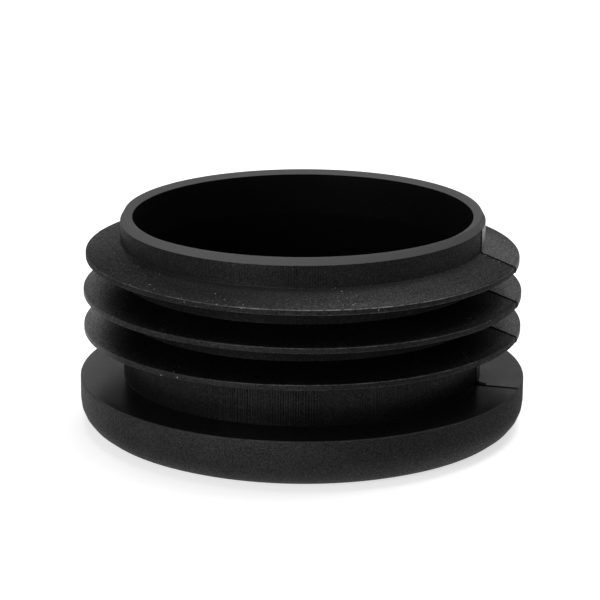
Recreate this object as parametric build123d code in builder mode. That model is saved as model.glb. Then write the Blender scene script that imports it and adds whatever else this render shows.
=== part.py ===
"""Tube end cap: a round head that covers the end of a tube, and a hollow insert whose
tapered fins bend as they enter the tube and grip its bore.

The cap is one moulded piece, in millimetres. The origin is the centre of the head's outer
face, and +Z points along the axis, out of the open end of the insert.
"""

from build123d import *
import os
from math import radians, tan

# --- Driving dimensions -------------------------------------------------------------

# Head, which stays outside the tube
head_diameter = 50.0
head_height = 5.6
head_corner_radius = 3.0  # rolls the side into the outer face
seat_edge_chamfer = 0.15  # breaks the edge beside the tube's end

# Neck, the thin wall that carries the fins
neck_diameter = 40.66
neck_relief = 0.23  # how far it steps in below the first fin, to clear a cut tube's burr
neck_length = 18.6  # from the seat to the lip
wall_thickness = 1.36  # at the lip
lead_in_height = 0.8  # chamfer round the outside of the lip
lead_in_width = 0.43
lip_land = 0.08  # narrow flat along the top of the lip
lip_fall = 0.42  # how far the lip slopes down from there to the hollow

# Hollow, open at the lip
floor_thickness = 2.0
floor_chamfer = 1.0  # eases the floor into the wall
bore_draft = 0.5  # degrees, so that the moulding slides off its core
gate_mark_diameter = 1.4  # where the plastic was fed in, at the middle of the floor
gate_mark_height = 0.35

# Fins, counted from the seat towards the lip
fin_diameters = (49.0, 49.0, 48.4)  # the last one enters first, so it is smaller
first_fin_height = 5.96  # from the seat to the upper edge of the first tip
fin_pitch = 4.04
fin_tip_thickness = 0.62
fin_slope = 17.5  # degrees that the upper face falls towards the tip, to lead the fin in

# --- Worked out from them -----------------------------------------------------------

head_radius = head_diameter / 2
neck_radius = neck_diameter / 2
neck_foot_radius = neck_radius - neck_relief
bore_radius = neck_radius - wall_thickness
seat_height = head_height
lip_height = seat_height + neck_length
first_underside_height = seat_height + first_fin_height - fin_tip_thickness
floor_radius = bore_radius - (lip_height - floor_thickness) * tan(radians(bore_draft))


def fin_section(fin):
    """The corners of one fin's section, which starts inside the wall that it stands on.

    The underside is flat, so that the two side cores which form the fins can draw apart.
    """
    tip_radius = fin_diameters[fin] / 2
    tip_height = seat_height + first_fin_height + fin * fin_pitch
    underside_height = tip_height - fin_tip_thickness
    root_height = tip_height + (tip_radius - bore_radius) * tan(radians(fin_slope))
    return [
        (bore_radius, underside_height),
        (tip_radius, underside_height),
        (tip_radius, tip_height),
        (bore_radius, root_height),
    ]


def corner(radius, height):
    """The corner of the open sketch that lies at this radius and height."""
    return vertices().sort_by_distance((radius, height))[0]


# --- The cap: half of its section, turned round the axis ------------------------------

with BuildPart() as end_cap:
    with BuildSketch(Plane.XZ):
        # head
        Rectangle(head_radius, head_height, align=(Align.MIN, Align.MIN))
        fillet(corner(head_radius, 0), head_corner_radius)
        chamfer(corner(head_radius, seat_height), seat_edge_chamfer)

        # neck, relieved at its foot and narrowed at the lip to find its way into the tube
        with BuildLine():
            Polyline(
                (0, seat_height),
                (neck_foot_radius, seat_height),
                (neck_foot_radius, first_underside_height),
                (neck_radius, first_underside_height),
                (neck_radius, lip_height - lead_in_height),
                (neck_radius - lead_in_width, lip_height),
                (0, lip_height),
                close=True,
            )
        make_face()

        # fins, standing on the neck
        for fin in range(len(fin_diameters)):
            with BuildLine():
                Polyline(*fin_section(fin), close=True)
            make_face()

        # hollow, wider towards the lip
        with BuildLine():
            Polyline(
                (0, floor_thickness),
                (floor_radius - floor_chamfer, floor_thickness),
                (floor_radius, floor_thickness + floor_chamfer),
                (bore_radius, lip_height - lip_fall),
                (neck_radius - lead_in_width - lip_land, lip_height),
                (0, lip_height),
                close=True,
            )
        make_face(mode=Mode.SUBTRACT)
    revolve(axis=Axis.Z)

    # gate mark on the floor
    with BuildSketch(Plane.XY.offset(floor_thickness)):
        Circle(gate_mark_diameter / 2)
    extrude(amount=gate_mark_height)

end_cap.part.label = "end_cap"

os.makedirs("parts", exist_ok=True)
export_step(end_cap.part, "parts/end_cap.step")
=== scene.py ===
# %% [markdown]
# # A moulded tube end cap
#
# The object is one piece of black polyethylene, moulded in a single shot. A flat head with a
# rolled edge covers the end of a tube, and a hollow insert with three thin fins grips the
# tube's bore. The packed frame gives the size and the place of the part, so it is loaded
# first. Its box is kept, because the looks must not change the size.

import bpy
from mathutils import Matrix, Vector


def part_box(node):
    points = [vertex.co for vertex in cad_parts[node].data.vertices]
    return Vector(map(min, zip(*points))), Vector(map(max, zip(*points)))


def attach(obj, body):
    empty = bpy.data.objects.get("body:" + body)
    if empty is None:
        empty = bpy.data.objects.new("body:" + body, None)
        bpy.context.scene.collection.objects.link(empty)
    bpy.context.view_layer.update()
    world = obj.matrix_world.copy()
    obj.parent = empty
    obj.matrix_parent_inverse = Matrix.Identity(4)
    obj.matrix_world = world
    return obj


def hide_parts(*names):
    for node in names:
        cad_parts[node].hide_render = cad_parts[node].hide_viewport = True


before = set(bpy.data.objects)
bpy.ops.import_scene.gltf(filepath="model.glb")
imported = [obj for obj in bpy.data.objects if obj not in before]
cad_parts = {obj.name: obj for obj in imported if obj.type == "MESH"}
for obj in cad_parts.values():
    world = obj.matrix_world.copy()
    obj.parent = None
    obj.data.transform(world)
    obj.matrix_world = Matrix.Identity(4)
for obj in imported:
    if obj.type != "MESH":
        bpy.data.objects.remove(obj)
print("nodes of the part:", list(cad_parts))

# %% Read the size of the part
import math

import bmesh
import bpy
import numpy as np
from mathutils import Quaternion, Vector

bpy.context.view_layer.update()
cap_low, cap_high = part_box("end_cap")
print("box of the part, mm:", [round(1000 * side, 2) for side in cap_high - cap_low])

# %% [markdown]
# ## Sizes
#
# The head's radius and the height of the whole cap are read from the frame, so that the model
# can't outgrow it. The other sizes are those of the part. Lengths are in millimetres, as a
# maker would give them, and become metres only when the mesh is made.

# %% Sizes of the head, the neck and the hollow, in millimetres
MM = 0.001

head_radius = cap_high.x / MM
lip_height = cap_high.z / MM
head_height = 5.6
neck_radius = 20.33
neck_relief = 0.23  # how far the neck steps in below the first fin
lead_in_height = 0.8
lead_in_width = 0.43
lip_land = 0.08
lip_fall = 0.42
bore_radius = 18.97
floor_height = 2.0
floor_radius = 18.78
gate_radius = 0.7
gate_height = 0.35

neck_foot_radius = neck_radius - neck_relief
neck_top = lip_height - lead_in_height
ridge_radius = neck_radius - lead_in_width
print("wall at the lip, mm:", round(neck_radius - bore_radius, 2))

# %% Sizes of the fins, in millimetres
fin_radii = (24.5, 24.5, 24.2)
fin_count = len(fin_radii)
first_fin_height = 5.96  # from the seat to the upper edge of the first tip
fin_pitch = 4.04
fin_tip_thickness = 0.62
fin_slope = math.radians(17.5)

fin_tip_heights = [head_height + first_fin_height + fin_pitch * fin for fin in range(fin_count)]
fin_undersides = [height - fin_tip_thickness for height in fin_tip_heights]
fin_root_rises = [(radius - neck_radius) * math.tan(fin_slope) for radius in fin_radii]
last_fin_underside = fin_undersides[-1]
last_fin_root = fin_tip_heights[-1] + fin_root_rises[-1]
print("upper edges of the fins, mm:", [round(height, 2) for height in fin_tip_heights])

# %% [markdown]
# ## The section
#
# A round moulding is easiest to describe by its section: half of the cut face, drawn as a
# chain of corners. The chain starts in the middle of the outer face, goes round the outside
# and over the lip, and ends in the middle of the hollow. The other way would be to bevel a
# turned mesh, but a bevel gives every edge the same softness. Here each corner has a rounding
# of its own, as a real mould does: generous on the head, hardly any on the fins. Small as
# they are, these roundings are what catches the light along the edges.

# %% Roundings of the corners, in millimetres
head_rounding = 3.0
seat_edge_rounding = 0.2
neck_foot_rounding = 0.03
fin_rounding = 0.1
fin_edge_rounding = 0.12
lead_in_rounding = 0.1
ridge_rounding = 0.08
lip_slope_rounding = 0.12
bore_edge_rounding = 0.06
floor_rounding = 1.2
gate_rounding = 0.1
gate_edge_rounding = 0.12
print("the head is rounder than a fin by", round(head_rounding / fin_rounding), "times")

# %% [markdown]
# ## Corners of a fin
#
# A fin is a thin plate with a flat underside and an upper face that falls towards the tip, so
# that it finds its way into the tube. Three separate rings could be made and joined to the
# neck, but then their roots would have no true corner. As a few corners in the same chain, the
# fins grow out of the neck in one skin, as they do in the mould.

# %% Corners of one fin
def fin_corners(fin):
    """From the lower root to the upper root, as radius, height, rounding and finish."""
    tip_radius = fin_radii[fin]
    tip_height = fin_tip_heights[fin]
    lower_root_radius = neck_foot_radius if fin == 0 else neck_radius
    return [
        (lower_root_radius, fin_undersides[fin], fin_rounding, "fins"),
        (tip_radius, fin_undersides[fin], fin_rounding, "fins"),
        (tip_radius, tip_height, fin_edge_rounding, "fins"),
        (neck_radius, tip_height + fin_root_rises[fin], fin_rounding, "neck"),
    ]


first_fin = [(round(corner[0], 2), round(corner[1], 2)) for corner in fin_corners(0)]
print("corners of the first fin, mm:", first_fin)

# %% [markdown]
# ## Finishes along the section
#
# The same plastic looks different on different faces, mostly because it copies the steel that
# it was pressed against. The head's side is eroded to an even satin, the seat under the tube's
# end is smoother and the neck has fine upright lines. The lip is simply given a pale, dull grey,
# and the hollow is black. So each corner also names the finish of the stretch that starts
# there, and the mesh can hand each stretch its own material.

# %% The whole chain of corners
head = [
    (0, 0, 0, "head"),
    (head_radius, 0, head_rounding, "head"),
    (head_radius, head_height, seat_edge_rounding, "seat"),
    (neck_foot_radius, head_height, neck_foot_rounding, "neck"),
]
fins = [corner for fin in range(fin_count) for corner in fin_corners(fin)]
lip = [
    (neck_radius, neck_top, lead_in_rounding, "lip"),
    (ridge_radius, lip_height, ridge_rounding, "lip"),
    (ridge_radius - lip_land, lip_height, lip_slope_rounding, "lip"),
    (bore_radius, lip_height - lip_fall, bore_edge_rounding, "bore"),
]
hollow = [
    (floor_radius, floor_height, floor_rounding, "floor"),
    (gate_radius, floor_height, gate_rounding, "floor"),
    (gate_radius, floor_height + gate_height, gate_edge_rounding, "floor"),
    (0, floor_height + gate_height, 0, "floor"),
]
section = head + fins + lip + hollow
finish_names = list(dict.fromkeys(corner[3] for corner in section))
print("corners:", len(section), "finishes:", finish_names)

# %% [markdown]
# ## Rounding the corners
#
# A mould has no perfectly sharp corner, so each corner becomes an arc that touches both of the
# straight runs beside it. A Bezier curve would only come close to a circle. Here the points
# of the arc are weighted sums of its two ends, which gives a true one in any direction. Half
# of the points take the finish before the corner and half take the finish after it, so the
# change of finish lies on the edge itself.

# %% An arc in a corner
def arc(last, corner, following, rounding, step=math.radians(15)):
    """Points of the arc that fits into a corner between two straight runs."""
    to_last = (last - corner) / np.linalg.norm(last - corner)
    to_following = (following - corner) / np.linalg.norm(following - corner)
    half_angle = math.acos(to_last @ to_following) / 2
    middle = (to_last + to_following) / np.linalg.norm(to_last + to_following)
    centre = corner + middle * rounding / math.sin(half_angle)
    start = corner + to_last * rounding / math.tan(half_angle) - centre
    end = corner + to_following * rounding / math.tan(half_angle) - centre
    turn = math.pi - 2 * half_angle
    shares = np.linspace(0, 1, max(2, math.ceil(turn / step)) + 1)[:, None]
    swing = start * np.sin((1 - shares) * turn) + end * np.sin(shares * turn)
    return centre + swing / math.sin(turn)


quarter = arc(np.array([1.0, 0]), np.array([0.0, 0]), np.array([0, 1.0]), 0.5)
print("points of a quarter turn:", len(quarter))

# %% Round every corner of the section
def rounded(corners):
    """The chain with its corners rounded, and the finish that each of its points starts."""
    places = [np.array(corner[:2], float) for corner in corners]
    points, finishes = [], []
    for index, (place, corner) in enumerate(zip(places, corners)):
        rounding, finish = corner[2:]
        if rounding == 0:
            points.append(place)
            finishes.append(finish)
            continue
        round_points = list(arc(places[index - 1], place, places[index + 1], rounding))
        before = len(round_points) // 2
        points += round_points
        finishes += [corners[index - 1][3]] * before
        finishes += [finish] * (len(round_points) - before)
    return points, finishes


corner_points, corner_finishes = rounded(section)
print("points with rounded corners:", len(corner_points))

# %% [markdown]
# ## Dividing the straight runs
#
# The neck and the fins are going to lean and ripple, and a long face can't bend. So the
# straight runs are divided too. A Subdivide on the finished mesh would do it everywhere, even
# on the roundings, which are fine enough already.

# %% Divide the straight runs
def divided(points, finishes, longest=1.6):
    """The same line with extra points, so that no face of the mesh is a long sliver."""
    line, names = [], []
    for start, end, finish in zip(points, points[1:], finishes):
        pieces = max(1, math.ceil(np.linalg.norm(end - start) / longest))
        line += [start + (end - start) * piece / pieces for piece in range(pieces)]
        names += [finish] * pieces
    return np.array(line + [points[-1]]), names


profile, profile_finishes = divided(corner_points, corner_finishes)
print("points along the section:", len(profile))

# %% [markdown]
# ## Turning the section
#
# The fins stand across the direction in which the mould opens, so the outside is formed by
# two side cores that close round the insert. Where they meet, a little plastic creeps in
# between and leaves a fine raised line across the seat, up the neck and over every fin.
#
# A bump texture could fake the line, but its edge shows against the light at the fins' tips,
# so it is made as geometry. For that the section is turned round the axis in even steps, with
# much finer ones beside the two lines. A Screw modifier would turn it in even steps only.

# %% Steps round the axis
parting_direction = math.radians(-15.8)
parting_angles = (parting_direction, parting_direction + math.pi)
even_steps = 288
fine_zone = math.radians(1.5)  # no even steps as close as this to a parting line
fine_angles = np.radians([-0.7, -0.35, -0.2, -0.1, 0, 0.1, 0.2, 0.35, 0.5, 0.7, 1.1])


def turned_away(angles, centre):
    """How far each angle is from a centre, from 0 to half a turn."""
    return np.abs((angles - centre + math.pi) % (2 * math.pi) - math.pi)


even_angles = np.linspace(0, 2 * math.pi, even_steps, endpoint=False)
far_enough = [turned_away(even_angles, centre) > fine_zone for centre in parting_angles]
mirrored = (parting_angles[0] + fine_angles, parting_angles[1] - fine_angles)
angles = np.concatenate([even_angles[np.all(far_enough, axis=0)], *mirrored]) % (2 * math.pi)
angles.sort()
print("steps round the axis:", len(angles))

# %% Turn the section round the axis
angle = angles[:, None] * np.ones(len(profile))
radius = profile[:, 0] * np.ones((len(angles), 1))
height = profile[:, 1] * np.ones((len(angles), 1))
print("grid of points:", radius.shape)

# %% [markdown]
# ## Fins that aren't quite true
#
# Fins this thin are easily bent as they cool and when they are handled. Here each leans a
# little to one side, and its tip ripples by a few hundredths of a millimetre. A Lattice could
# bend them, but it would take the neck along. A sum on the grid leaves the root where it is
# and lets the effect grow towards the tip.

# %% Lean and ripple of the fins
fin_leans = (0.0012, -0.0038, -0.0072)  # rise of each fin per length along X
long_wave = 0.025
short_wave = 0.012
corner_room = 0.1  # takes in the rounded corners above and below the fin

for fin, tip_radius in enumerate(fin_radii):
    above_underside = height > fin_undersides[fin] - corner_room
    below_root = height < fin_tip_heights[fin] + fin_root_rises[fin] + corner_room
    out = np.clip((radius - neck_radius) / (tip_radius - neck_radius), 0, 1)
    out *= above_underside & below_root
    waves = long_wave * np.sin(3 * angle + 1.7 * fin) + short_wave * np.sin(7 * angle + 2.9 * fin)
    height = height + out * fin_leans[fin] * radius * np.cos(angle) + out**2 * waves
    print("fin", fin, "rises or falls by up to, mm:", round(tip_radius * abs(fin_leans[fin]), 3))

# %% [markdown]
# ## A lip that isn't quite level
#
# An open end can shrink more on one side than on the other. Here the lip lies a fifth of a
# millimetre lower on the -X side. Turning the whole cap would tilt the head as well, so the
# drop starts above the last fin and grows up to the lip.

# %% Lean of the lip
lip_lean = 0.005  # fall of the lip per length along X
lean_start = last_fin_root + 0.3
share = np.clip((height - lean_start) / (neck_top - lean_start), 0, 1)
drop = share * lip_lean * (ridge_radius - radius * np.cos(angle))
height = height - drop.clip(0, None)
print("the lip is lower on one side by, mm:", round(drop.max(), 3))

# %% [markdown]
# ## The raised parting line
#
# Two side cores never match quite, so the skin just behind the line stands a few hundredths
# of a millimetre proud. The grid's points are pushed outward, square to the section, by a
# height that depends on how far they lie behind the line. Only the faces that the side cores
# form are moved: from the seat up to the foot of the lead-in. The line at the other end of
# the joint, on the -X side, is made fainter.

# %% Which way is outward along the section
along = np.gradient(profile, axis=0)
along /= np.linalg.norm(along, axis=1)[:, None]
outward = np.stack([along[:, 1], -along[:, 0]], axis=1)
on_seat = (profile[:, 1] > head_height - 0.01) & (profile[:, 0] < head_radius - 0.1)
from_cores = np.zeros(len(profile))
from_cores[np.argmax(on_seat):np.argmax(profile[:, 1] > neck_top)] = 1
print("points that the side cores formed:", int(from_cores.sum()))

# %% Raise the parting line
line_places = (-0.12, -0.04, 0, 0.06, 0.5, 2.5)  # distances behind the line
line_heights = (0, 0.015, 0.075, 0.05, 0.04, 0)
second_line_share = 0.3

x = radius * np.cos(angle)
y = radius * np.sin(angle)
behind = y * math.cos(parting_direction) - x * math.sin(parting_direction)
rise = np.interp(behind, line_places, line_heights)
rise *= from_cores * np.where(x > 0, 1, second_line_share)
radius = radius + rise * outward[:, 0]
height = height + rise * outward[:, 1]
print("the parting line stands proud by up to, mm:", round(rise.max(), 3))

# %% [markdown]
# ## The mesh
#
# The grid of radius, height and angle becomes a mesh of four-sided faces. The middle of the
# outer face and the middle of the gate mark are single points that all the steps share, so
# the faces round them are triangles and the skin is closed.

# %% Build the mesh
steps, stations = radius.shape
places = np.stack([radius * np.cos(angle), radius * np.sin(angle), height], axis=2) * MM
on_axis = profile[:, 0] < 1e-9


def vertex(step, station):
    """The number of a vertex. All the steps share the points on the axis."""
    return (0 if on_axis[station] else step % steps) * stations + station


faces, face_finishes = [], []
for step in range(steps):
    for station in range(stations - 1):
        ring = [(step, station), (step + 1, station), (step + 1, station + 1), (step, station + 1)]
        faces.append(list(dict.fromkeys(vertex(*place) for place in ring)))
        face_finishes.append(finish_names.index(profile_finishes[station]))

mesh = bpy.data.meshes.new("end_cap_moulding")
mesh.from_pydata(places.reshape(-1, 3).tolist(), [], faces)
mesh.polygons.foreach_set("material_index", face_finishes)
print("faces:", len(mesh.polygons))

# %% [markdown]
# ## Into the frame
#
# The spare copies of the shared points are deleted, and the faces are turned to look outward,
# which a bump needs to rise the right way. Smooth shading hides the facets, and the roundings
# are fine enough to keep every edge crisp without marking any as sharp. The moulding then
# takes the place of the part in the frame and rides on its one body.

# %% Clean the mesh up
work = bmesh.new()
work.from_mesh(mesh)
spare = [point for point in work.verts if not point.link_faces]
print("spare points deleted:", len(spare))
bmesh.ops.delete(work, geom=spare, context="VERTS")
bmesh.ops.recalc_face_normals(work, faces=work.faces)
work.to_mesh(mesh)
work.free()
mesh.shade_smooth()

# %% Put it in the frame
cap = bpy.data.objects.new("end_cap_moulding", mesh)
bpy.context.collection.objects.link(cap)
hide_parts("end_cap")
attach(cap, "root")
print("size of the moulding, mm:", [round(side / MM, 2) for side in cap.dimensions])

# %% [markdown]
# ## Writing a shader as sums
#
# A finish is mostly arithmetic: so much of this noise, less of that mask. Drawn as nodes it
# soon becomes a tangle, so a small class lets Python write it as an expression. Each
# operator adds the Math node that does the same sum. A second class holds the node tree, and
# its one method adds every other kind of node.

# %% Values that can be added and multiplied
class Value:
    """One output of a node. Sums and products of values add Math nodes."""

    def __init__(self, nodes, socket):
        self.nodes = nodes
        self.socket = socket

    def calculate(self, operation, first, second):
        """The result of one Math node."""
        return self.nodes.add("ShaderNodeMath", {"operation": operation}, {0: first, 1: second})

    def __add__(self, other):
        return self.calculate("ADD", self, other)

    def __radd__(self, other):
        return self.calculate("ADD", other, self)

    def __sub__(self, other):
        return self.calculate("SUBTRACT", self, other)

    def __rsub__(self, other):
        return self.calculate("SUBTRACT", other, self)

    def __mul__(self, other):
        return self.calculate("MULTIPLY", self, other)

    def __rmul__(self, other):
        return self.calculate("MULTIPLY", other, self)

    def between(self, low, high):
        """0 below low, 1 above high, and a soft step between the two."""
        sockets = {"Value": self, "From Min": low, "From Max": high}
        return self.nodes.add("ShaderNodeMapRange", {"interpolation_type": "SMOOTHSTEP"}, sockets)


print("a value can:", [name.strip("_") for name, member in vars(Value).items() if callable(member)])

# %% A node tree with one method
class Nodes:
    """The empty node tree of a material or a world."""

    def __init__(self, owner):
        owner.use_nodes = True
        self.tree = owner.node_tree
        self.tree.nodes.clear()

    def add(self, kind, settings, sockets, output=0):
        """Adds a node, makes its settings, then fills or links its sockets."""
        node = self.tree.nodes.new(kind)
        for name, setting in settings.items():
            setattr(node, name, setting)
        for name, value in sockets.items():
            socket = self.find(node.inputs, name)
            if isinstance(value, Value):
                self.tree.links.new(value.socket, socket)
            else:
                socket.default_value = value
        if node.outputs:
            return Value(self, self.find(node.outputs, output))

    def find(self, sockets, name):
        """A socket by its number among those in use, or by its name."""
        in_use = [socket for socket in sockets if socket.enabled]
        if isinstance(name, int):
            return in_use[name]
        return next(socket for socket in in_use if socket.name == name)


print("a node tree can:", [name for name in vars(Nodes) if not name.startswith("_")])

# %% [markdown]
# ## Where on the cap
#
# The wear and the moulding marks of this cap belong to certain places: a side, a height, a
# distance from the axis. They could be painted on an unwrapped map, but the cap is round, so
# a few sums of its own coordinates say the same and stay sharp at any size. The class below
# does these sums. Its lengths are in millimetres, like those of the section, so that the
# same named sizes serve for both.

# %% The place that is being shaded
class Place:
    """The point of the cap that is being shaded, in millimetres."""

    def __init__(self, nodes):
        self.nodes = nodes
        metres = nodes.add("ShaderNodeTexCoord", {}, {}, "Object")
        self.point = self.vector_sum("SCALE", {0: metres, "Scale": 1 / MM})
        self.x, self.y, self.z = (
            nodes.add("ShaderNodeSeparateXYZ", {}, {0: self.point}, axis) for axis in range(3)
        )
        flat = nodes.add("ShaderNodeCombineXYZ", {}, {"X": self.x, "Y": self.y})
        self.from_axis = self.vector_sum("LENGTH", {0: flat}, "Value")

    def vector_sum(self, operation, sockets, output=0):
        """The result of one Vector Math node."""
        return self.nodes.add("ShaderNodeVectorMath", {"operation": operation}, sockets, output)

    def side(self, direction, low, high):
        """1 on the side that lies in this direction. The soft step runs from low to high."""
        return (self.x * math.cos(direction) + self.y * math.sin(direction)).between(low, high)

    def behind_line(self):
        """How far the point lies behind the parting line."""
        return self.y * math.cos(parting_direction) - self.x * math.sin(parting_direction)

    def noise(self, size, detail=2.0, squeeze=None):
        """Noise with features of about this size, drawn out along the axis by a squeeze."""
        point = self.point
        if squeeze:
            point = self.vector_sum("MULTIPLY", {0: point, 1: (1, 1, squeeze)})
        sockets = {"Vector": point, "Scale": 1 / size, "Detail": detail}
        return self.nodes.add("ShaderNodeTexNoise", {}, sockets)


print("a place knows:", [name for name in vars(Place) if not name.startswith("_")])

# %% [markdown]
# ## Painted highlights on the edges
#
# The thin bright lines on the corners of the fins' tips, and faintly on the head's edge, are
# highlights, painted on as a pale grey, strongest towards the front, with darker breaks
# between. A mask finds the corners: only on a rounded corner does the normal point partly
# upward, neither level nor straight up, and two sizes of noise break the line up.

# %% Painted highlights on the edges
tip_start = fin_radii[-1] - 0.3  # every fin has its tip and its corners beyond this
highlight_direction = math.radians(-75)
lower_edge_share = 0.25


def at_tips(place):
    """1 at the tips of the fins and on the side of the head, and 0 nearer to the axis."""
    return place.from_axis.between(tip_start, tip_start + 0.15)


def painted_edge_highlights(place):
    """Painted highlights: up to 1 on the upper corners and a quarter on the lower ones, most in
    front.
    """
    normal = place.nodes.add("ShaderNodeNewGeometry", {}, {}, "Normal")
    upward = place.nodes.add("ShaderNodeSeparateXYZ", {}, {0: normal}, "Z")
    upper_corner = upward.between(0.1, 0.35) * (1 - upward.between(0.8, 0.93))
    lower_corner = (0 - upward).between(0.02, 0.12) * lower_edge_share
    # the painted highlights are strongest on the side towards the front
    highlighted_side = place.side(highlight_direction, 18, 23.5) * 0.7 + 0.3
    last_fin = place.z.between(last_fin_underside - 2, last_fin_underside) * 0.6 + 0.4
    patches = place.noise(3).between(0.42, 0.6) * 0.5 + 0.5
    broken_up = place.noise(0.5).between(0.38, 0.6) * 0.6 + 0.4
    return (upper_corner + lower_corner) * at_tips(place) * highlighted_side * last_fin * patches * broken_up


print("the tips start at, mm from the axis:", tip_start)

# %% [markdown]
# ## Dust, and painted light above the last fin
#
# Black plastic shows every speck of dust. A few cling to the fins, in patches. A thin pale
# patch in the corner above the last fin, at the front, is painted light on the fin's root.
# Scattered grains would need thousands of objects for the same effect. Noise with a very
# narrow step leaves only its highest peaks, which look like specks.

# %% Dust and painted light
front_direction = math.radians(-90)
painted_light_width = 2.4  # from the neck outward
painted_light_strength = 0.07


def dust_and_painted_light(place):
    """Pale specks of dust in a few patches, and painted light in the corner above the last fin, at
    the front.
    """
    specks = place.noise(0.25, detail=0).between(0.78, 0.81)
    patches = place.noise(6).between(0.58, 0.66)
    # painted light: a pale patch on the root of the last fin, at the front
    corner = 1 - place.from_axis.between(neck_radius, neck_radius + painted_light_width)
    last_fin = place.z.between(last_fin_underside - 2, last_fin_underside - 1)
    front = place.side(front_direction, 8, 20)
    return specks * patches + corner * last_fin * front * painted_light_strength


print("the film ends at, mm from the axis:", round(neck_radius + painted_light_width, 2))

# %% [markdown]
# ## Polished and dulled places
#
# A moulding doesn't shine evenly all over: handling polishes it, scuffs dull it, and a core
# is hard to polish between its fins. Here the -X side shines more, and a few places, the
# neck between the fins among them, shine less. Where and how much was found by trying.
# Separate materials would show a border, so the share of the skin that shines is multiplied
# by numbers that change softly from place to place.

# %% Places that shine more
polish_direction = math.radians(180)
polish_at_foot = 1.95
polish_lost_higher_up = 1.7
plain_gloss = 0.7
front_gloss = 0.3
bottom_gloss = 0.5


def gloss(place, polish):
    """How much the skin shines: more on the polished side, in front and near the bottom."""
    by_height = polish_at_foot - place.z.between(12, 20) * polish_lost_higher_up
    handled = place.side(polish_direction, 18, 26) * by_height
    front = place.side(front_direction, 8, 22)
    bottom = 1 - place.z.between(0.8, head_rounding)
    return plain_gloss + handled * polish + front * front_gloss + bottom * bottom_gloss


print("polished towards, degrees:", round(math.degrees(polish_direction)))

# %% Places that shine less
scuff_direction = math.radians(-50)
scuff_dulling = 0.35
last_fin_direction = math.radians(-137)
last_fin_dulling = 0.25
foot_direction = math.radians(-60)
foot_dulling = 0.65
gap_dulling = 0.5


def scuffed_side(place):
    """How dull the scuffed side is, low on the head and the neck and at the fins' tips."""
    low = (1 - place.z.between(5.5, 12)) * place.z.between(1.5, 4)
    tips = at_tips(place) * place.z.between(9, 10)
    return place.side(scuff_direction, 18, 25) * (low + tips) * scuff_dulling


def dull_last_fin(place):
    """How dull the last fin is at the front left."""
    from_below = place.z.between(last_fin_underside - 0.5, last_fin_underside)
    to_root = 1 - place.z.between(last_fin_root, last_fin_root + 0.2)
    return place.side(last_fin_direction, 16, 22) * from_below * to_root * last_fin_dulling


def dull_foot(place):
    """How dull the neck is where it meets the seat at the front right."""
    on_neck = 1 - place.from_axis.between(neck_foot_radius + 0.05, neck_foot_radius + 0.1)
    near_seat = 1 - place.z.between(head_height + 0.1, head_height + 2.9)
    return place.side(foot_direction, 6, 20) * on_neck * near_seat * foot_dulling


def gaps(place):
    """How dull the neck is between the fins."""
    on_neck = 1 - place.from_axis.between(neck_radius + 0.07, neck_radius + 0.17)
    above_first = place.z.between(fin_undersides[0], fin_undersides[0] + 0.2)
    below_last = 1 - place.z.between(last_fin_underside - 0.2, last_fin_underside)
    return on_neck * above_first * below_last * gap_dulling


print("gaps between the heights, mm:", round(fin_undersides[0], 2), round(last_fin_underside, 2))

# %% [markdown]
# ## Draw lines
#
# The neck has fine upright lines, like those that a plastic copies from steel that was
# dressed with strokes along the axis. An image could carry them, but a sine round the axis,
# put out of step by noise, gives lines of even width that never quite repeat. The noise is
# squeezed along the axis, so that each line runs up the neck without a break.

# %% Draw lines
lines_per_turn = 460
line_squeeze = 0.015
out_of_step = 12


def draw_lines(place):
    """Fine upright lines round the axis, in patches and fainter at the lip."""
    add = place.nodes.add
    around = add("ShaderNodeMath", {"operation": "ARCTAN2"}, {0: place.y, 1: place.x})
    phase = around * lines_per_turn + place.noise(1.5, squeeze=line_squeeze) * out_of_step
    even_lines = add("ShaderNodeMath", {"operation": "SINE"}, {0: phase}) * 0.35
    uneven_lines = (place.noise(0.2, squeeze=line_squeeze) - 0.5) * 1.2
    patches = place.noise(6, squeeze=line_squeeze).between(0.4, 0.6) * 0.8 + 0.2
    front = place.side(front_direction, 16, 20) * 0.65 + 0.35
    return (even_lines + uneven_lines) * patches * front * (1 - place.z.between(11, 13) * 0.6)


print("from line to line on the neck, mm:", round(2 * math.pi * neck_radius / lines_per_turn, 2))

# %% [markdown]
# ## The half behind the parting line
#
# Two side cores aren't equally smooth, so beside the line the far half is glossier than the
# near one, and a narrow strip in front of the line stays dark. A second set of materials
# would need a cut in the mesh along the line. Two masks across the line do without, and let
# the difference fade out behind it.

# %% Masks beside the parting line
def beside_line(place):
    """The glossier far half, and the dark strip in front of it, on the +X side only."""
    behind = place.behind_line()
    right_side = place.x.between(0, 5)
    far_half = behind.between(-0.03, 0.03) * (1 - behind.between(3, 15)) * right_side
    strip = behind.between(-0.45, -0.3) * (1 - behind.between(-0.06, 0)) * right_side
    return far_half, strip


print("direction of the parting line, degrees:", round(math.degrees(parting_direction), 1))

# %% [markdown]
# ## Black polyethylene
#
# Black polyethylene is coloured right through with carbon, so its own colour is nearly
# nothing, and what the eye sees is the sheen of its skin. Under a glass the skin is a fine
# grain that the eroded steel left in it, and between the grain's peaks it hardly shines. One
# shader with a high roughness would turn all of it grey at a low angle. Two of them do it
# better: a dull one without any sheen and a shiny one, mixed by the share of the skin that
# shines. Everything that was made above works on that share, on the colour or on a shallow
# bump.

# %% The colour of the skin
# the grey of the painted highlights on the edges, of the painted light above the last fin, and of
# the dust
painted_light_and_dust_grey = 0.24


def grey(level):
    """A grey as a colour socket wants it."""
    return (level, level, level, 1)


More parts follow.
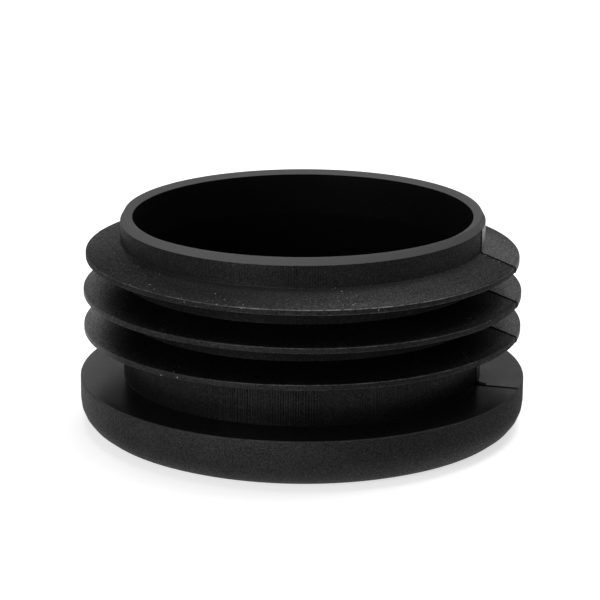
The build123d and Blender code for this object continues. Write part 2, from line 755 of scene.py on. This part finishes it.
def skin_colour(place, shade, greys, pale):
    """Nearly black, between two greys by the shade, and pale where highlights and light are painted
    on, and where there is dust.
    """
    sockets = {"Factor": shade, "A": grey(greys[0]), "B": grey(greys[1])}
    black = place.nodes.add("ShaderNodeMix", {"data_type": "RGBA"}, sockets)
    sockets = {"Factor": pale, "A": black, "B": grey(painted_light_and_dust_grey)}
    return place.nodes.add("ShaderNodeMix", {"data_type": "RGBA"}, sockets)


# the painted highlights on the edges have this colour
print("colour of a rubbed edge:", grey(painted_light_and_dust_grey))

# %% Two skins in one
bump_height = 0.008 * MM


def two_skins(nodes, colour, relief, roughness, share):
    """A dull skin and a shiny one, which has this share of the surface."""
    bump = {"Height": relief, "Strength": 1, "Distance": bump_height}
    normal = nodes.add("ShaderNodeBump", {}, bump)
    skin = {"Base Color": colour, "Normal": normal, "IOR": 1.5}
    no_sheen = {**skin, "Roughness": 1.0, "Specular IOR Level": 0.0}
    dull = nodes.add("ShaderNodeBsdfPrincipled", {}, no_sheen)
    shiny = nodes.add("ShaderNodeBsdfPrincipled", {}, {**skin, "Roughness": roughness})
    surface = nodes.add("ShaderNodeMixShader", {}, {0: share, 1: dull, 2: shiny})
    nodes.add("ShaderNodeOutputMaterial", {}, {"Surface": surface})


print("height of the bump, mm:", round(bump_height / MM, 3))

# %% The plastic
cloud_size = 5
coarse_grain = 0.24
fine_grain = 0.12
peak_size = 0.3
grain_contrast = 1.1
cloud_contrast = 0.3
peak_gloss = 0.14
strip_darkness = 0.85


def polyethylene(name, greys, roughness, shine, grain, polish=1, lines=0, edge_highlight=0, dust_and_light=0, far=None):
    """Black polyethylene, of which the share called shine shines and the rest is dull.

    grain, polish and lines say how much of each there is, the next amount how much painted
    highlight the edges get, and the one after it how much dust and painted light. far is the
    roughness and the share of the half behind the parting line.
    """
    material = bpy.data.materials.new(name)
    place = Place(Nodes(material))

    clouds = place.noise(cloud_size)
    texture = place.noise(coarse_grain) * 0.35 + place.noise(fine_grain) * 0.65
    texture = texture.between(0.36, 0.64)
    peaks = place.noise(peak_size, detail=1).between(0.62, 0.7)
    drawn = draw_lines(place) * lines if lines else 0

    rough = roughness + (clouds - 0.5) * 0.06
    share = shine
    if far:
        far_half, strip = beside_line(place)
        rough = rough + far_half * (far[0] - roughness)
        share = (shine + far_half * (far[1] - shine)) * (1 - strip * strip_darkness)
    dulled = scuffed_side(place) + dull_last_fin(place) + dull_foot(place) + gaps(place)
    share = share * gloss(place, polish) * (1 - dulled)
    contrast = (texture - 0.5) * grain_contrast * grain + (clouds - 0.5) * cloud_contrast
    share = share * (1 + contrast + drawn) + peaks * peak_gloss * grain

    shade = texture * 0.5 + clouds * 0.3 + 0.1 + drawn * 0.5
    # pale: painted highlights on the edges, and on the fins also dust and painted light above the
    # last fin
    pale = painted_edge_highlights(place) * edge_highlight if edge_highlight else 0
    if dust_and_light:
        pale = pale + dust_and_painted_light(place) * dust_and_light
    colour = skin_colour(place, shade, greys, pale)
    two_skins(place.nodes, colour, texture * grain + drawn, rough, share)
    return material


print("clouds and grain of, mm:", cloud_size, coarse_grain, fine_grain)

# %% [markdown]
# ## One plastic, seven finishes
#
# Every finish is the same plastic with other amounts. The head is eroded and has a broad
# sheen, the fins have the most grain, and the seat and the neck are smoother, so that they
# mirror a little of what is beside them. The neck has the draw lines. The lip is pale and
# dull, and the hollow hardly shines at all. Seven materials written out by hand would soon
# drift apart, and one function keeps them alike.

# %% One material for each finish
# the head and the fins get painted highlights on their edges, and the fins also get dust and
# painted light
materials = {
    "head": polyethylene(
        "eroded_head", (0.001, 0.005), roughness=0.55, shine=0.41, grain=0.75,
        polish=0.3, edge_highlight=0.2,
    ),
    "seat": polyethylene(
        "smooth_seat", (0.004, 0.012), roughness=0.22, shine=0.36, grain=0.4,
        polish=0.2, far=(0.22, 0.4),
    ),
    "fins": polyethylene(
        "satin_fins", (0.0005, 0.002), roughness=0.42, shine=0.32, grain=1,
        edge_highlight=1, dust_and_light=1, far=(0.4, 0.7),
    ),
    "neck": polyethylene(
        "drawn_neck", (0.002, 0.007), roughness=0.3, shine=0.18, grain=0.8,
        polish=4, lines=1.5, far=(0.3, 0.9),
    ),
    "lip": polyethylene("dull_lip", (0.095, 0.105), roughness=0.8, shine=0.2, grain=0.3),
    "bore": polyethylene("polished_bore", (0.0022, 0.0028), roughness=0.6, shine=0.1, grain=0.3),
    "floor": polyethylene("hollow_floor", (0.008, 0.012), roughness=0.6, shine=0.3, grain=0.5),
}
for name in finish_names:
    mesh.materials.append(materials[name])
print("materials:", [material.name for material in mesh.materials])

# %% [markdown]
# ## The floor and the surroundings
#
# The cap stands on a sheet of white paper that runs out of sight, in an even white room. Both
# show as plain white to the camera and in the cap's sheen. A white floor could be had by
# lighting it until it clips, but then the cap would be too bright as well. So only a part of
# the paper's white is real light, which keeps the soft shadow under the head, and the rest is
# added for the rays that the camera sees. Further out, where the lamps don't reach, more is
# added, so that the paper meets the room without an edge.

# %% Rays that see the background
ray_kinds = ("Is Camera Ray", "Is Glossy Ray", "Is Transmission Ray")


def seen_rays(nodes):
    """1 for the camera's rays, straight or by way of a shiny or a clear surface."""
    straight, mirrored, through = (
        nodes.add("ShaderNodeLightPath", {}, {}, kind) for kind in ray_kinds
    )
    return straight + mirrored + through


print("rays that see plain white:", ray_kinds)

# %% Paper floor
paper_size = 4.0
paper_white = 0.8
added_white = 0.85
added_near_cap = 0.76
lamps_reach = (0.2, 1.0)  # where their light on the paper starts to fade, and where it ends

bpy.ops.mesh.primitive_plane_add(size=paper_size)
paper = bpy.context.object
paper.name = "floor"

paper_material = bpy.data.materials.new("white_paper")
nodes = Nodes(paper_material)
spot = nodes.add("ShaderNodeTexCoord", {}, {}, "Object")
from_cap = nodes.add("ShaderNodeVectorMath", {"operation": "LENGTH"}, {0: spot}, "Value")
glows = {"Factor": from_cap.between(*lamps_reach), "A": grey(added_near_cap), "B": grey(1)}
glow = nodes.add("ShaderNodeMix", {"data_type": "RGBA"}, glows)
paper_sockets = {
    "Base Color": grey(paper_white),
    "Roughness": 1.0,
    "Specular IOR Level": 0.0,
    "Emission Color": glow,
    "Emission Strength": seen_rays(nodes) * added_white,
}
paper_surface = nodes.add("ShaderNodeBsdfPrincipled", {}, paper_sockets)
nodes.add("ShaderNodeOutputMaterial", {}, {"Surface": paper_surface})
paper.data.materials.append(paper_material)
print("floor, m:", list(paper.dimensions))

# %% [markdown]
# ## The room
#
# A white room would light the cap evenly from all sides, and that takes the depth out of the
# gaps between the fins. So its light is turned down to a fifth, and only the rays that see
# the room get its full white.

# %% World
room_light = 0.2

world = bpy.data.worlds.new("white_room")
bpy.context.scene.world = world
nodes = Nodes(world)
strength = room_light + seen_rays(nodes) * (1 - room_light)
room = nodes.add("ShaderNodeBackground", {}, {"Color": grey(1), "Strength": strength})
nodes.add("ShaderNodeOutputWorld", {}, {"Surface": room})
bpy.context.scene.view_settings.view_transform = "Standard"
print("light of the room itself:", room_light)

# %% [markdown]
# ## Lamps
#
# Three soft lamps do the rest. The first hangs above and a little behind the cap, so that
# the tops of the fins shine and the gaps below them stay dark. The second, behind and to the
# right, runs along the fins, and a low one from the front left lights the head's side. They
# are large squares rather than points, because what shows on a black cap is the reflection
# of its lamps, and a large lamp gives a soft one.

# %% Three soft lamps
lamp_size = 0.3
lamp_distance = 0.6
cap_middle = Vector((0, 0, lip_height * MM / 2))


def soft_lamp(name, azimuth, elevation, brightness):
    """A square lamp that faces the cap. Its brightness is 1 where it looks as white as paper."""
    data = bpy.data.lights.new(name, "AREA")
    data.size = lamp_size
    data.energy = brightness * math.pi * lamp_size**2
    lamp = bpy.data.objects.new(name, data)
    bpy.context.collection.objects.link(lamp)
    turn, lift = math.radians(azimuth), math.radians(elevation)
    level = math.cos(lift)
    towards = Vector((level * math.cos(turn), level * math.sin(turn), math.sin(lift)))
    lamp.location = cap_middle + towards * lamp_distance
    lamp.rotation_mode = "QUATERNION"
    lamp.rotation_quaternion = towards.to_track_quat("Z", "Y")
    lamp.visible_camera = False
    return lamp


lamps = [
    soft_lamp("top_lamp", azimuth=90, elevation=80, brightness=4.0),
    soft_lamp("back_right_lamp", azimuth=45, elevation=65, brightness=4.5),
    soft_lamp("front_left_lamp", azimuth=235, elevation=12, brightness=5.7),
]
print("lamps:", [lamp.name for lamp in lamps])

# %% [markdown]
# ## The camera
#
# A long lens some thirty centimetres away looks down on the lip by sixteen degrees, and is
# turned by a third of a degree about its own axis. A short lens close by would show the same
# cap with a near side that looks too large.

# %% Camera
camera_data = bpy.data.cameras.new("camera")
camera_data.sensor_width = 36
camera_data.lens = 157.554  # millimetres, for this sensor
camera_data.clip_start = 0.01
camera_data.clip_end = 20
camera = bpy.data.objects.new("camera", camera_data)
bpy.context.collection.objects.link(camera)
bpy.context.scene.camera = camera

looks_down = math.radians(16.209)
camera_distance = 0.2952
roll = math.radians(0.298)
target = Vector((-0.00027, 0, 0.0137))
backwards = Vector((0, -math.cos(looks_down), math.sin(looks_down)))
camera.location = target + backwards * camera_distance
camera.rotation_mode = "QUATERNION"
aim = (-backwards).to_track_quat("-Z", "Y")
camera.rotation_quaternion = aim @ Quaternion((0, 0, 1), roll)
print("height of the camera above the floor, m:", round(camera.location.z, 3))

# %% [markdown]
